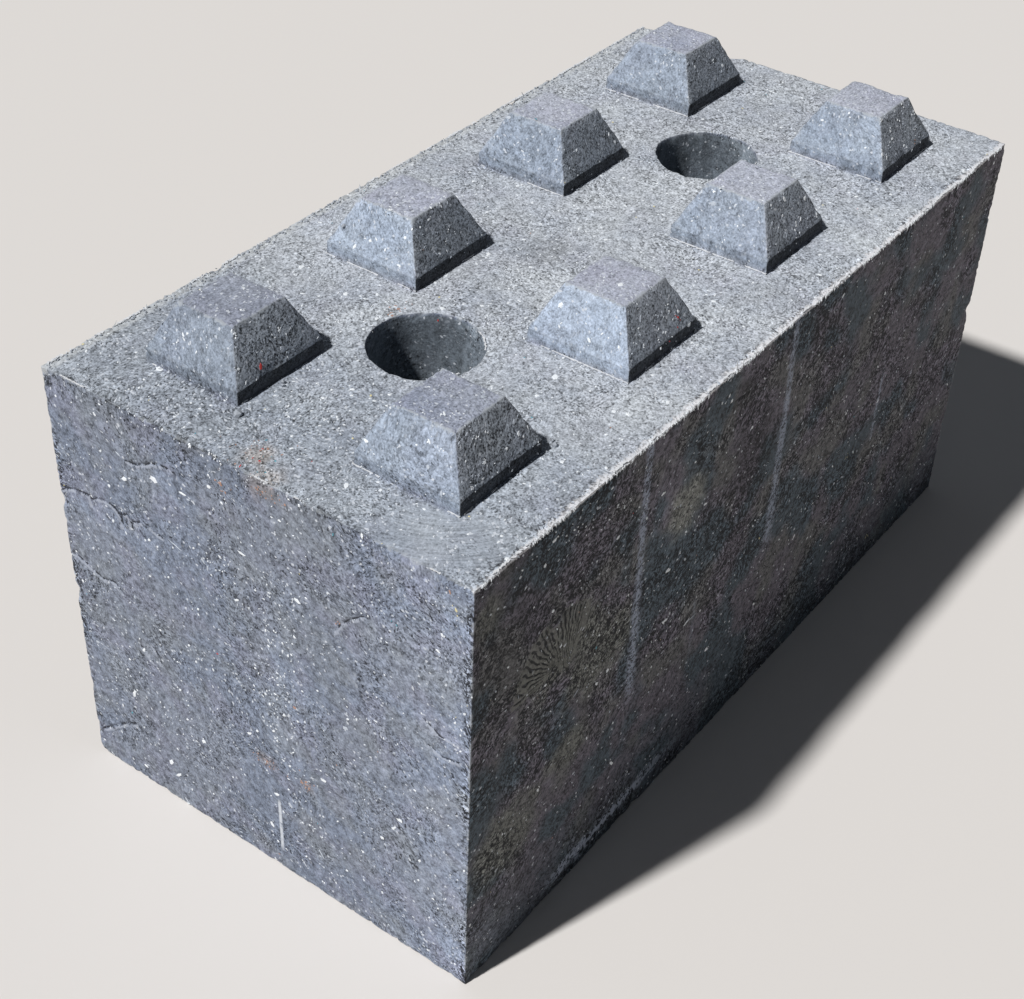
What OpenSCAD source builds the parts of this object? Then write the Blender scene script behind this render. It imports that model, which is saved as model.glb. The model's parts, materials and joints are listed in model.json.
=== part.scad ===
// Interlocking building block, pressed in one piece from recycled PVC.
//
// The block is a row of cells. Each cell carries four tapered studs on
// its top, four matching sockets in its underside and one upright bore
// through its middle, so blocks stack dry in a running or crossed bond
// and can be lifted or pinned through their bores.
//
// Millimetres. The origin is the middle of the underside, +X runs along
// the block and +Z is up.

/* [Body] */
// Length of the block
block_l = 1200; // [1000:10:1800]
// Width of the block
block_w = 600; // [500:10:900]
// Height of the block without its studs
block_h = 600; // [300:10:900]
// Width of the small flat along every edge of the body
edge_flat = 3; // [1:0.5:12]
// Cells along the block, each with four studs around one bore
cells = 2; // [1:1:3]

/* [Studs] */
// Width of a stud at its foot
stud_base = 140; // [110:1:168]
// Width of a stud at its flat top
stud_top = 82; // [60:1:105]
// Height of the upright plinth at the foot of a stud
plinth_h = 16; // [4:1:40]
// Whole height of a stud above the body
stud_h = 74; // [50:1:120]

/* [Sockets] */
// Gap between a stud and each side of the socket that it drops into
socket_gap = 5; // [2:0.5:12]
// Gap left above a stud when one block bears on another
socket_relief = 6; // [2:0.5:30]

/* [Bores] */
// Diameter of the bore through each cell
bore_d = 130; // [40:1:156]

/* [Hidden] */
$fn = 96;

cell_l = block_l / cells;
// Leg of a corner cut that leaves a flat of the width asked for
edge_cut = edge_flat / sqrt(2);
socket_base = stud_base + 2 * socket_gap;
socket_top = stud_top + 2 * socket_gap;
socket_h = stud_h + socket_relief;
// Depth by which a joined or cutting shape runs past the face it meets
overrun = 1;

// Outline of an l by w rectangle with its four corners cut off
function cut_rectangle(l, w) = [
    [edge_cut - l / 2, w / 2], [-l / 2, w / 2 - edge_cut],
    [-l / 2, edge_cut - w / 2], [edge_cut - l / 2, -w / 2],
    [l / 2 - edge_cut, -w / 2], [l / 2, edge_cut - w / 2],
    [l / 2, w / 2 - edge_cut], [l / 2 - edge_cut, w / 2]
];

// A bar of the given outline, lying along the direction that turn gives
module bar(outline, length, turn) {
    rotate(turn)
        linear_extrude(length + 2 * overrun, center = true)
            polygon(outline);
}

// The plain body: three bars that cross at right angles share it, and
// each one cuts the edges that run along it
module body() {
    translate([0, 0, block_h / 2])
        intersection() {
            bar(cut_rectangle(block_l, block_w), block_h, [0, 0, 0]);
            bar(cut_rectangle(block_l, block_h), block_w, [90, 0, 0]);
            bar(cut_rectangle(block_w, block_h), block_l, [90, 0, 90]);
        }
}

// A square shape with an upright foot and four sloping sides, standing
// on z = 0 and rooted just below it
module square_taper(base, top, height) {
    outline = [
        [-base / 2, -overrun], [base / 2, -overrun], [base / 2, plinth_h],
        [top / 2, height], [-top / 2, height], [-base / 2, plinth_h]
    ];
    intersection() {
        bar(outline, base, [90, 0, 0]);
        bar(outline, base, [90, 0, 90]);
    }
}

// Places its children at the middle of every cell
module at_cells() {
    for (i = [0:cells - 1])
        translate([(i + 0.5) * cell_l - block_l / 2, 0, 0])
            children();
}

// Places its children at the four quarter points of every cell
module at_studs() {
    at_cells()
        for (x = [-1, 1], y = [-1, 1])
            translate([x * cell_l / 4, y * block_w / 4, 0])
                children();
}

module block() {
    color("dimgray")
        difference() {
            union() {
                body();
                translate([0, 0, block_h])
                    at_studs() square_taper(stud_base, stud_top, stud_h);
            }
            at_studs() square_taper(socket_base, socket_top, socket_h);
            at_cells()
                translate([0, 0, -overrun])
                    cylinder(h = block_h + 2 * overrun, d = bore_d);
        }
}

block();
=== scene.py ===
import functools
import json
import math
import random

import bmesh
import bpy
from mathutils import Matrix, Vector, kdtree, noise
from mathutils.bvhtree import BVHTree


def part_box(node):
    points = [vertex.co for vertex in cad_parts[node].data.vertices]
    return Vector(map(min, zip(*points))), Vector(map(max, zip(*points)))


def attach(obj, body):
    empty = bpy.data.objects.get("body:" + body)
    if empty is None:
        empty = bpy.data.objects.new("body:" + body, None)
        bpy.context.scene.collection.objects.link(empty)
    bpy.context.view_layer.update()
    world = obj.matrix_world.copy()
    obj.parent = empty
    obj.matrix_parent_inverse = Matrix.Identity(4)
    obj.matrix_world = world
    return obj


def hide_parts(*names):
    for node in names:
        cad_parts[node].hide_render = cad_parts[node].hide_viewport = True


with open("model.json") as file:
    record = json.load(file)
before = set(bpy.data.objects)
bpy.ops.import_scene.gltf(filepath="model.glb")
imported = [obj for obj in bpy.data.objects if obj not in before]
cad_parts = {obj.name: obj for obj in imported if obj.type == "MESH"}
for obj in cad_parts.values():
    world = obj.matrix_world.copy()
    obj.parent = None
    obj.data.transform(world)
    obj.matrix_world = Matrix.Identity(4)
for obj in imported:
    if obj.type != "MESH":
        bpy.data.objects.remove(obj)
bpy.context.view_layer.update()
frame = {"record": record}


# ---------------- The body
# Reground cable sheath, softened by heat and pressed in a steel box mould: the body, its
# studs, its sockets and its bores are one piece. It starts as an even grid, whose lines
# are then drawn to the edges of every stud, socket and bore.
low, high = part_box("block")
mounts = {m["name"]: m for m in frame["record"]["mounts"]}
bores = [m for m in mounts.values() if m["kind"] == "bore"]
bore_middles = [Vector(m["pos_m"][:2]) for m in bores]
bore_radius = bores[0]["dims"]["r_mm"] / 1000
body_top = mounts["seat_top"]["pos_m"][2]
stud_foot, stud_flat, plinth_rise, stud_rise = 0.14, 0.082, 0.016, high.z - body_top
socket_mouth, socket_roof, socket_rise = 0.15, 0.092, 0.08
cell = abs(bore_middles[1].x - bore_middles[0].x)
stud_places = [
    Vector((middle.x + x * cell / 4, y * (high.y - low.y) / 4, 0))
    for middle in bore_middles for x in (-1, 1) for y in (-1, 1)
]
bore_patch = cell / 4 - stud_foot / 2  # half the square between the studs that a bore stands in
mesh_step, rim_step = 0.0098, 0.006
snug = 1e-5  # two places closer than this are the same
hair = 1e-4  # a place nearer than this to a face of the block is on it


def grid_lines(stops, step):
    """Places through every stop, evenly spread between two stops and at most step apart."""
    places = [stops[0]]
    for a, b in zip(stops, stops[1:]):
        parts = max(1, round((b - a) / step))
        places += [a + (b - a) * i / parts for i in range(1, parts + 1)]
    return places


def plan_stops(start, end, centres):
    edges = [c + s * w / 2 for c in centres for s in (-1, 1) for w in (stud_foot, socket_mouth)]
    return sorted({round(v, 5) for v in [start, start + rim_step, *edges, end - rim_step, end]})


def cut(shape, edges, cuts):
    """Cuts the edges, and the faces between them, into even parts."""
    bmesh.ops.subdivide_edges(shape, edges=edges, cuts=cuts, use_grid_fill=True)


def edges_among(verts):
    return [e for e in block.edges if e.verts[0] in verts and e.verts[1] in verts]


grid = (
    grid_lines(plan_stops(low.x, high.x, {p.x for p in stud_places}), mesh_step),
    grid_lines(plan_stops(low.y, high.y, {p.y for p in stud_places}), mesh_step),
    grid_lines([low.z, rim_step, body_top - rim_step, body_top], mesh_step),
)
block = bmesh.new()
bmesh.ops.create_cube(block, size=1.0)
for axis, lines in enumerate(grid):
    along = [e for e in block.edges if abs((e.verts[0].co - e.verts[1].co)[axis]) > 0.5]
    cut(block, along, len(lines) - 2)
for v in block.verts:
    v.co = [lines[round((c + 0.5) * (len(lines) - 1))] for c, lines in zip(v.co, grid)]


# ---------------- The studs and the sockets
# Four tapered studs to a cell stand on the top, each on a low upright plinth, and each has
# its socket straight below it in the underside, a little wider and deeper. The mould forms
# them with the body, so both are drawn out of the body's own faces.
def faces_around(x, y, z, reach):
    found = []
    for f in block.faces:
        c = f.calc_center_median()
        if abs(c.z - z) < snug and abs(c.x - x) < reach and abs(c.y - y) < reach:
            found.append(f)
    return found


def draw_out(faces, centre, rise, ratio, rows):
    """Extrudes the faces by rise, shrinks them about centre, and cuts the new sides into rows."""
    out = bmesh.ops.extrude_face_region(block, geom=faces)["geom"]
    bmesh.ops.delete(block, geom=faces, context="FACES_KEEP_BOUNDARY")
    tips = [g for g in out if isinstance(g, bmesh.types.BMVert)]
    bmesh.ops.translate(block, verts=tips, vec=(0, 0, rise))
    bmesh.ops.scale(block, verts=tips, vec=(ratio, ratio, 1), space=Matrix.Translation(-centre))
    tip_set = set(tips)
    sides = [e for v in tips for e in v.link_edges if e.other_vert(v) not in tip_set]
    cut(block, sides, rows - 1)
    return [g for g in out if isinstance(g, bmesh.types.BMFace)]


for place in stud_places:
    for z, foot, flat, rise, rows in (
            (body_top, stud_foot, stud_flat, stud_rise, 8),
            (low.z, socket_mouth, socket_roof, socket_rise, 6)):
        plinth = draw_out(faces_around(place.x, place.y, z, foot / 2), place, plinth_rise, 1, 2)
        draw_out(plinth, place, rise - plinth_rise, flat / foot, rows)


# ---------------- The bores
# One upright bore through the middle of each cell, left by a round steel core. A square
# of the top and of the underside is opened, its rim is drawn in to the bore's circle, and
# the two circles are joined by the wall.
rim_depth, rim_band, wall_rows = 0.016, 0.008, 40

for x, y in bore_middles:
    circles = []
    for z in (low.z, body_top):
        bmesh.ops.delete(block, geom=faces_around(x, y, z, bore_patch), context="FACES")
        rim = [e for e in block.edges if e.is_boundary and abs(e.verts[0].co.z - z) < snug
               and abs(e.verts[0].co.x - x) < cell / 4]
        out = bmesh.ops.extrude_edge_only(block, edges=rim)["geom"]
        inner = {g for g in out if isinstance(g, bmesh.types.BMVert)}
        for v in inner:
            v.co = Vector((x, y, z)) + Vector((v.co.x - x, v.co.y - y, 0)).normalized() * bore_radius
        circles += [g for g in out if isinstance(g, bmesh.types.BMEdge) and set(g.verts) <= inner]
        spokes = [e for e in block.edges if (e.verts[0] in inner) != (e.verts[1] in inner)]
        cut(block, spokes, 3)
    wall = {e for f in bmesh.ops.bridge_loops(block, edges=circles)["faces"] for e in f.edges}
    upright = [e for e in block.edges if e in wall and abs(e.verts[0].co.z - e.verts[1].co.z) > cell / 4]
    cut(block, upright, wall_rows)
    rim = {v for v in block.verts if body_top - rim_depth < v.co.z < body_top + snug
           and abs(Vector((v.co.x - x, v.co.y - y)).length - bore_radius) < rim_band}
    cut(block, edges_among(rim), 2)


# ---------------- The pressed and worn surface
# The melt is stiff and full of grains, so it copies the mould loosely: its faces wave and
# are lumpy, folds and cracks stay where the filling didn't knit, and the arrises crumble.
# The mesh is made finer along the arrises and marks before they are pressed in.
fold_reach = 0.012  # a fold's line is looked for no farther away than this
arris_width, arris_blend, wear_reach = 0.0018, 0.0034, 0.011


def in_metres(row):
    """The numbers of a row, and of the rows within it, turned from millimetres to metres."""
    return [in_metres(v) if isinstance(v, (list, tuple)) else v / 1000 for v in row]


end_folds = in_metres([  # width and depth of a fold on the near end, and its (y, z) line
    (2.6, 1.2, [(300, 428), (288, 436), (270, 441), (252, 443.5)]),
    (2.2, 1, [(247, 443.5), (246, 430)]),
    (2.4, 1, [(245, 440), (235, 447), (222, 449), (208, 447), (200, 440)]),
    (2.4, 1.4, [(199, 447), (197, 424)]),
    (2.4, 1.2, [(197, 443), (190, 446.5), (183, 444.5), (181, 428)]),
    (2.6, 1.2, [(179, 441), (165, 447), (150, 448), (142, 443), (134, 442)]),
    (2.6, 1.5, [(179, 526), (163, 529), (149, 536), (138, 542.5), (128, 546), (114, 547), (102, 544)]),
    (2.6, 1.8, [(300, 35), (270, 60), (246, 80), (225, 92.5)]),
    (3, 1.2, [(290, 337), (270, 331), (245, 322), (225, 327), (213, 316)]),
    (2.8, 1.2, [(200, 247), (187, 240), (176, 229)]),
    (2.8, 1.2, [(172, 254), (164, 245), (160, 232)]),
    (2.8, 0.8, [(-120, 447), (-128, 462), (-142, 477), (-158, 489)]),
    (2.6, 0.8, [(-243, 358), (-262, 352), (-283, 357)]),
    (2.6, 0.8, [(-238, 392), (-258, 381), (-279, 382)]),
])
side_folds = in_metres([  # the same on the near long side, with an (x, z) line
    (3, 1, [(-524, 415), (-512, 428), (-500, 434), (-484, 441), (-474, 451), (-462, 461),
            (-445, 463), (-425, 459)]),
    (2.8, 0.8, [(-110, 360), (-75, 345), (-25, 330)]),
    (2.8, 0.8, [(-100, 220), (-50, 217.5), (-10, 203), (20, 190)]),
    (2.6, 0.8, [(-135, 555), (-100, 551), (-60, 549)]),
    (2.8, 0.8, [(255, 455), (300, 430), (352, 421), (395, 400)]),
])
fans = [  # the lobes of a shell-shaped fold on that side: hub, inner and outer reach, angles, ridges
    (Vector((-0.442, 0.384)), 0.03, 0.086, 108, 186, 50),
    (Vector((-0.432, 0.352)), 0.04, 0.112, 66, 116, 82),
]
nicks = in_metres([  # chips off the arrises: place, radius and depth
    ((-600, 300, 415), 12, 3.6), ((-600, 300, 275), 16, 3), ((-600, 300, 520), 10, 1.4),
    ((-600, 300, 120), 12, 1.8), ((-600, 190, 600), 14, 3.6), ((-600, 122, 600), 12, 4),
    ((-600, 50, 600), 16, 3), ((-330, 300, 600), 16, 4), ((260, 300, 600), 18, 4.2),
    ((90, -300, 600), 10, 2.6), ((600, 140, 600), 20, 5.5), ((600, -300, 330), 15, 4),
    ((600, 300, 210), 18, 5), ((200, 300, 0), 20, 5), ((-250, -300, 0), 14, 3),
])


def ease(start, end, value):
    t = min(1.0, max(0.0, (value - start) / (end - start)))
    return t * t * (3 - 2 * t)


def off_line(point, line):
    """Distance from a 2-D point to a line of points; below zero on the line's left side."""
    best = 1.0
    for a, b in zip(line, line[1:]):
        a, way = Vector(a), Vector(b) - Vector(a)
        t = min(1.0, max(0.0, (point - a).dot(way) / way.length_squared))
        gap = (point - a - way * t).length
        if gap < abs(best):
            best = gap if way.x * (point.y - a.y) - way.y * (point.x - a.x) < 0 else -gap
    return best


def fold_at(point, folds, spare=0.0):
    """Depth of the folds at a 2-D point of a face, and the distance to the nearest one's line."""
    depth, nearest = 0.0, 1.0
    for width, deep, line in folds:
        if all(min(c) - fold_reach < p < max(c) + fold_reach for p, c in zip(point, zip(*line))):
            away = off_line(point, line)
            depth = max(depth, deep * (1 - ease(0, width + spare, abs(away))))
            nearest = min(nearest, away, key=abs)
    return depth, nearest


def ripple(point, rate, seed):
    return noise.noise(Vector((point.x * rate, point.y * rate, seed)))


def fan_at(point):
    """The shell-shaped fold on the long side: how deep it is pressed, and its wave of ridges."""
    deepest, ridges = 0.0, -1.0
    for hub, near_reach, far_reach, start, end, ridge_rate in fans:
        arm = point - hub
        reach = arm.length + 0.013 * ripple(point, 45, 1.0) + 0.005 * ripple(point, 160, 4.0)
        angle = math.degrees(math.atan2(arm.y, arm.x))
        inside = ease(near_reach * 0.5, near_reach, reach) * (1 - ease(far_reach - 0.008, far_reach, reach))
        inside *= ease(start - 6, start + 6, angle) * (1 - ease(end - 8, end, angle))
        sway = ripple(point, 38, 2.0) * 4.0 + ripple(point, 90, 5.0) * 2.6
        wave = math.sin(math.radians(angle) * ridge_rate + sway) - 0.7 * max(0.0, ripple(point, 70, 6.0))
        deepest = max(deepest, inside * max(0.0, wave) ** 2 * 0.0014)
        ridges = max(ridges, inside * (0.8 * (wave + 1) + 0.4) - 1)
    return deepest, ridges


def on_near_end(p):
    return p.x < low.x + hair


def on_near_side(p):
    return p.y < low.y + hair


def near_mark(p, reach):
    flat = Vector((p.x, p.z))
    if on_near_end(p) and fold_at(Vector((p.y, p.z)), end_folds, reach)[0] > 0:
        return True
    return on_near_side(p) and (fold_at(flat, side_folds, reach)[0] > 0 or any(
        (flat - fan[0]).length < fan[2] + reach and flat.y > fan[0].y - reach for fan in fans))


for reach, cuts in ((0.007, 2), (0.003, 1)):
    marked = {v for v in block.verts if near_mark(v.co, reach)}
    cut(block, edges_among(marked), cuts)

bmesh.ops.recalc_face_normals(block, faces=block.faces)


def on_body_arris(co):
    """True in the strip beside one of the body's twelve arrises, but not on the studs."""
    gaps = sorted((min(co.x - low.x, high.x - co.x), min(co.y - low.y, high.y - co.y),
                   min(co.z - low.z, abs(body_top - co.z))))
    return gaps[0] < snug and gaps[1] < rim_step + snug


strip = {v for v in block.verts if on_body_arris(v.co)}
cut(block, [e for e in edges_among(strip) if e.calc_length() > rim_step + hair], 2)
arrises = [e for e in block.edges if e.calc_face_angle(0) > 0.35 and e.is_convex]
arris_verts = bmesh.ops.bevel(
    block, geom=arrises, offset=arris_width, offset_type="OFFSET", affect="EDGES", segments=2,
    profile=0.5, material=-1, clamp_overlap=True)["verts"]
arris_tree = kdtree.KDTree(len(arris_verts))
for i, v in enumerate(arris_verts):
    arris_tree.insert(v.co, i)
arris_tree.balance()
bmesh.ops.triangulate(block, faces=[f for f in block.faces if len(f.verts) > 4])
block.normal_update()
arris_ways = []  # outwards along the middle of the arris, the same for both of its sides
for v in arris_verts:
    near = [arris_verts[i].normal for _, i, _ in arris_tree.find_range(v.co, arris_blend)]
    arris_ways.append(sum(near, Vector()).normalized())


def from_bore(p):
    """How far outside the nearest bore's circle a place is."""
    return min((p.xy - middle).length for middle in bore_middles) - bore_radius


def arris_care(p):
    """How freely an arris crumbles: the near upright one is sharp, the far top one is ragged."""
    near_x, near_y, far_y = p.x < low.x + 0.01, p.y < low.y + 0.01, p.y > high.y - 0.01
    if p.z > body_top + 0.001:
        return 0.85
    if from_bore(p) < 0.02:
        return 1.0 + 1.8 * max(0.0, noise.noise(p * 17)) * ease(0.0, 0.4, noise.noise(p * 9))
    if p.z > body_top - 0.01 and (near_x or near_y or far_y):
        return 1.2 if far_y else 1.6 if near_x else 0.35
    if near_x and far_y:
        return 0.7
    return 0.3 if near_x and near_y else 0.8


# Its colour is the melt's own: charcoal with cool, lilac and greenish clouds, under a film
# of pale dust on everything that faces up. The long sides are painted darker than the ends:
# partly a darker, glossier skin, partly painted shade.
cool, neutral = Vector((0.194, 0.225, 0.292)), Vector((0.212, 0.237, 0.292))
lilac, green_grey = Vector((0.224, 0.233, 0.304)), Vector((0.208, 0.228, 0.255))
dust, olive_film = Vector((0.366, 0.398, 0.438)), Vector((0.174, 0.178, 0.166))
# the long sides' colours are set darker than the ends', partly as painted shade
side_brown, side_olive = Vector((0.137, 0.126, 0.154)), Vector((0.137, 0.139, 0.137))
side_blue, bore_grey = Vector((0.075, 0.098, 0.12)), Vector((0.205, 0.24, 0.268))
slope_skin, plain_grey = Vector((0.2, 0.234, 0.281)), Vector((0.214, 0.233, 0.252))
stud_marks = {  # a stud: how coarse and how pale its near slope is, and its long side's tone
    (-0.45, 0.15): (0.25, 1.13, 1.2), (-0.45, -0.15): (0.6, 1.36, 1.2),
    (-0.15, 0.15): (0.3, 1.58, 1.15), (-0.15, -0.15): (0.05, 1.78, 1.26),
    (0.15, 0.15): (0.35, 1.3, 1.2), (0.15, -0.15): (0.25, 1.35, 1.2),
    (0.45, 0.15): (0.4, 1.3, 1.2), (0.45, -0.15): (0.15, 1.4, 1.2),
}


def spots(face, *rows, deep=50):
    """Spots on a near face: its two coordinates and two half-widths in mm, and what else is given."""
    made = []
    for row in rows:
        u, v, wide, tall, in_by = in_metres((*row[:4], deep))
        at = {"end": (low.x, u, v), "side": (u, low.y, v), "top": (u, v, body_top)}[face]
        reach = {"end": (in_by, wide, tall), "side": (wide, in_by, tall), "top": (wide, tall, in_by)}[face]
        made.append((at, reach, *row[4:]))
    return made


olive_patches = spots(
    "side", (-440, 405, 100, 55), (-365, 345, 85, 65), (-200, 460, 50, 50), (-415, 235, 50, 30),
    (-535, 190, 70, 70), (-575, 545, 30, 40))
coarse_spots = spots("end", (-200, 545, 130, 90), (20, 360, 50, 130)) + spots(
    "side", (-400, 540, 160, 80), (-340, 380, 70, 80), (-570, 400, 50, 80), (-550, 170, 50, 50),
    (-480, 290, 70, 60), (-80, 360, 90, 90), (-200, 300, 80, 100), (-400, 480, 200, 60)) + spots(
    "top", (-550, 140, 50, 90), (-510, -160, 40, 50), (-545, 20, 40, 60)) + [
    ((-0.6, 0.19, 0.6), (0.08, 0.1, 0.03)), ((-0.45, 0.09, 0.64), (0.06, 0.03, 0.04))]
smooth_spots = spots(
    "end", (125, 500, 45, 60), (-245, 380, 60, 70), (205, 405, 75, 35)) + spots(
    "side", (-240, 140, 320, 120), (-205, 455, 85, 75), (-510, 50, 130, 70)) + spots(
    "top", (-545, -235, 90, 60), (-50, 20, 50, 50))
pale_spots = spots(  # with how much paler the melt was drawn out there, or how much darker it stayed
    "end", (205, 418, 85, 26, 0.16), (125, 505, 30, 42, 0.16), (-250, 380, 55, 45, 0.08),
    (-245, 560, 50, 30, 0.07), (265, 200, 35, 50, 0.06), (100, 585, 150, 14, -0.1)) + spots(
    "side", (-245, 470, 110, 95, 0.16), (-45, 440, 70, 80, -0.36), (-570, 45, 70, 60, 0.34),
    (-90, 552, 50, 18, -0.45), (-350, 50, 100, 50, -0.12), (50, 320, 90, 50, 0.15),
    (-212, 455, 55, 60, 0.34)) + spots(
    "top", (-50, 20, 50, 50, -0.2), (-545, -235, 90, 60, 0.05), (-550, 140, 50, 120, -0.07),
    (-300, 0, 130, 50, 0.06), (-150, 250, 140, 70, 0.1)) + [
    ((-0.45, 0.15, 0.674), (0.075, 0.075, 0.02), -0.17)]
copper_spots = spots("end", (0, 178, 22, 10), (-68, 177, 18, 9), deep=30) + [
    ((-0.59, -0.02, 0.59), (0.03, 0.03, 0.02)), ((-0.572, 0.005, 0.6), (0.022, 0.022, 0.02))]
bright_streak = ((-0.6, -0.035, 0.3), (0.05, 0.05, 0.14))
scratched_flank = ((-0.475, -0.165, 0.64), (0.03, 0.045, 0.032))


def cloudy(p, size, seed):
    """Slow variation of about -1 to 1, whose lumps have the given size in metres."""
    return noise.fractal(p / size + Vector((seed, seed * 1.7, -seed)), 0.7, 2.0, 3)


def spot(p, centre, reach):
    """1 in a ragged spot with the given half-widths, fading to 0 at its outline."""
    arm = Vector((p[i] - centre[i]) / reach[i] for i in range(3)).length
    return 1 - ease(0.5, 1.0, arm + 0.35 * cloudy(p, 0.03, 11)) if arm < 1.3 else 0.0


def strongest(p, found):
    return max(spot(p, *s) for s in found)


def stud_mark(p):
    """The mark of the stud that this place is on, or None."""
    if p.z > body_top + 0.004:
        return min(stud_marks.items(), key=lambda m: abs(p.x - m[0][0]) + abs(p.y - m[0][1]))[1]
    return None


def in_bore(p):
    return from_bore(p) < 0.001 and p.z < body_top - 0.002


def coarseness(p):
    """0 where the melt was smeared smooth along the steel, 1 where it stayed coarse."""
    value = ease(-0.12, 0.25, cloudy(p, 0.085, 4))
    mark = stud_mark(p)
    if mark:
        value = mark[0] * (0.6 + 0.8 * value)
    if in_bore(p):
        value *= 0.3
    return min(1.0, max(value, strongest(p, coarse_spots)) * (1 - strongest(p, smooth_spots)))


def olive_skin(p):
    """1 where the near long side keeps the olive skin that the hot steel drew over it."""
    return strongest(p, olive_patches) if on_near_side(p) else 0.0


def shifted(colour, *shares):
    """The colour with its red, green and blue scaled by their shares."""
    return Vector([c * share for c, share in zip(colour, shares)])


def side_skin_and_painted_shade(p):
    """The skin of the long sides, painted darker than the ends, partly as painted shade: brown and olive
    clouds, bluer towards the foot, with more painted shade at the top near the near end.
    """
    colour = side_brown.lerp(side_olive, 0.8 * ease(0.0, 0.4, cloudy(p, 0.1, 7)))
    colour = colour.lerp(side_blue, ease(-0.05, 0.3, cloudy(p, 0.11, 8)))
    colour = colour.lerp(side_blue, 0.7 * (1 - ease(0.02, 0.16, p.z + 0.05 * cloudy(p, 0.1, 9))))
    colour = colour.lerp(olive_film, olive_skin(p))
    # painted shade: darker at the top of the side near the near end
    shade = ease(0.34, 0.46, p.z + 0.04 * cloudy(p, 0.1, 14)) * (1 - ease(-0.54, -0.4, p.x))
    return colour * (0.92 - 0.22 * shade)


def melt_colour(p, n):
    colour = cool.lerp(neutral, ease(-0.2, 0.25, cloudy(p, 0.13, 1)))
    colour = colour.lerp(lilac, 0.5 * ease(0.0, 0.4, cloudy(p, 0.06, 2)))
    colour = colour.lerp(green_grey, 0.5 * ease(0.1, 0.45, cloudy(p, 0.045, 3)))
    settled = ease(0.6, 0.95, n.z) * (0.65 + 0.3 * cloudy(p, 0.09, 6))
    colour = colour.lerp(dust, min(1.0, max(0.0, settled)))
    if n.z > 0.5 and p.z > 0.5:  # the top is paler and warmer away from the near end, and darker towards the far edge
        inner = ease(-0.5, -0.22, p.x)
        colour *= 0.985 + 0.2 * inner - 0.1 * (p.y - 0.05) + 0.06 * cloudy(p, 0.12, 10)
        colour = colour.lerp(shifted(colour, 1.1, 1.065, 1.02), inner)
    if n.x < -0.8 and p.x < low.x + 0.01:
        colour *= (0.9 + 0.05 * ease(0.0, 0.2, p.z) + 0.2 * ease(-0.1, -0.29, p.y)
                   + 0.15 * spot(p, *bright_streak))
    mark = stud_mark(p)
    if mark and n.z > 0.9:
        colour = colour.lerp(shifted(colour, 0.97, 0.96, 1.03), ease(0.664, 0.673, p.z))
    if mark and n.x < -0.7:
        colour = colour.lerp(slope_skin, 0.7) * mark[1] * (1.05 + 0.1 * cloudy(p, 0.035, 12))
    if mark and abs(n.y) > 0.7:
        colour = colour.lerp(plain_grey, 0.7) * mark[2]
    if in_bore(p):
        streaked = cloudy(Vector((p.x, p.y, p.z * 0.15)), 0.016, 13)
        colour = colour.lerp(bore_grey, 0.7) * (0.98 + 0.42 * streaked + 0.12 * cloudy(p, 0.05, 13))
        # painted shade: the half of each bore's wall towards +y, which the key leaves in shadow, is darker
        colour *= 1 - 0.36 * ease(-0.03, 0.03, p.y)
    colour = colour.lerp(shifted(colour, 1.12, 0.98, 0.86), strongest(p, copper_spots))
    # both long sides take the darker side skin, partly painted shade
    beside = ease(high.y - 0.006, high.y - 0.001, abs(p.y)) * ease(0.5, 0.9, abs(n.y))
    if beside > 0:
        colour = colour.lerp(side_skin_and_painted_shade(p), beside)
    for centre, reach, amount in pale_spots:
        colour = colour * (1 + amount * spot(p, centre, reach))
    return colour


layers = block.verts.layers
wear_of, fold_of, by_fold_of, ridge_of, olive_of = [
    layers.float.new(name) for name in ("wear", "fold", "by_fold", "ridge", "olive")]
tint_of = layers.float_color.new("tint")
moves = []
for v in block.verts:
    p, n = v.co, v.normal
    _, nearest, away = arris_tree.find(p)
    wear = 1 - ease(0.0, wear_reach, away)
    depth = 0.0011 + 0.0009 * noise.noise(p * 5) + 0.0007 * noise.noise(p * 23 + Vector((3, 1, 7)))
    depth += 0.0005 * noise.noise(p * 70 + Vector((9, 4, 2)))
    if p.z < low.z + hair:  # the foot lay on the flat bed of the mould
        depth *= 0.3
    fold, away_from, ridge = 0.0, 1.0, -1.0  # no fold near
    if n.x < -0.9 and on_near_end(p):
        fold, away_from = fold_at(Vector((p.y, p.z)), end_folds)
        away_from = -away_from
    if n.y < -0.9 and on_near_side(p):
        fold, away_from = fold_at(Vector((p.x, p.z)), side_folds)
        fan, ridge = fan_at(Vector((p.x, p.z)))
        fold, away_from = max(fold, fan), -away_from
    chip = 0.0
    if wear > 0:
        chip = 0.0004 + 0.0026 * max(0.0, noise.noise(p * 52)) + 0.003 * max(0.0, noise.noise(p * 150))
        chip *= wear * wear * arris_care(p)
        if p.y < low.y + 0.01 and body_top - 0.01 < p.z < body_top + 0.001:
            chip += 0.0015 * wear * wear  # the near long one is rubbed round
    for place, radius, deep in nicks:
        gap = (p - Vector(place)).length
        if gap < radius:
            chip += deep * (1 - gap / radius) * (1 + 0.5 * noise.noise(p * 160))
    v[wear_of], v[fold_of], v[ridge_of] = wear, away_from, ridge
    v[by_fold_of] = 1 - ease(0.003, 0.012, abs(away_from))
    v[olive_of] = max(olive_skin(p), spot(p, *scratched_flank))
    v[tint_of] = (*melt_colour(p, n), coarseness(p))
    moves.append(-n * max(0.0003, depth + fold) * (1 - wear) - arris_ways[nearest] * (chip + 0.0008 * wear))
for v, move in zip(block.verts, moves):
    v.co += move

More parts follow.
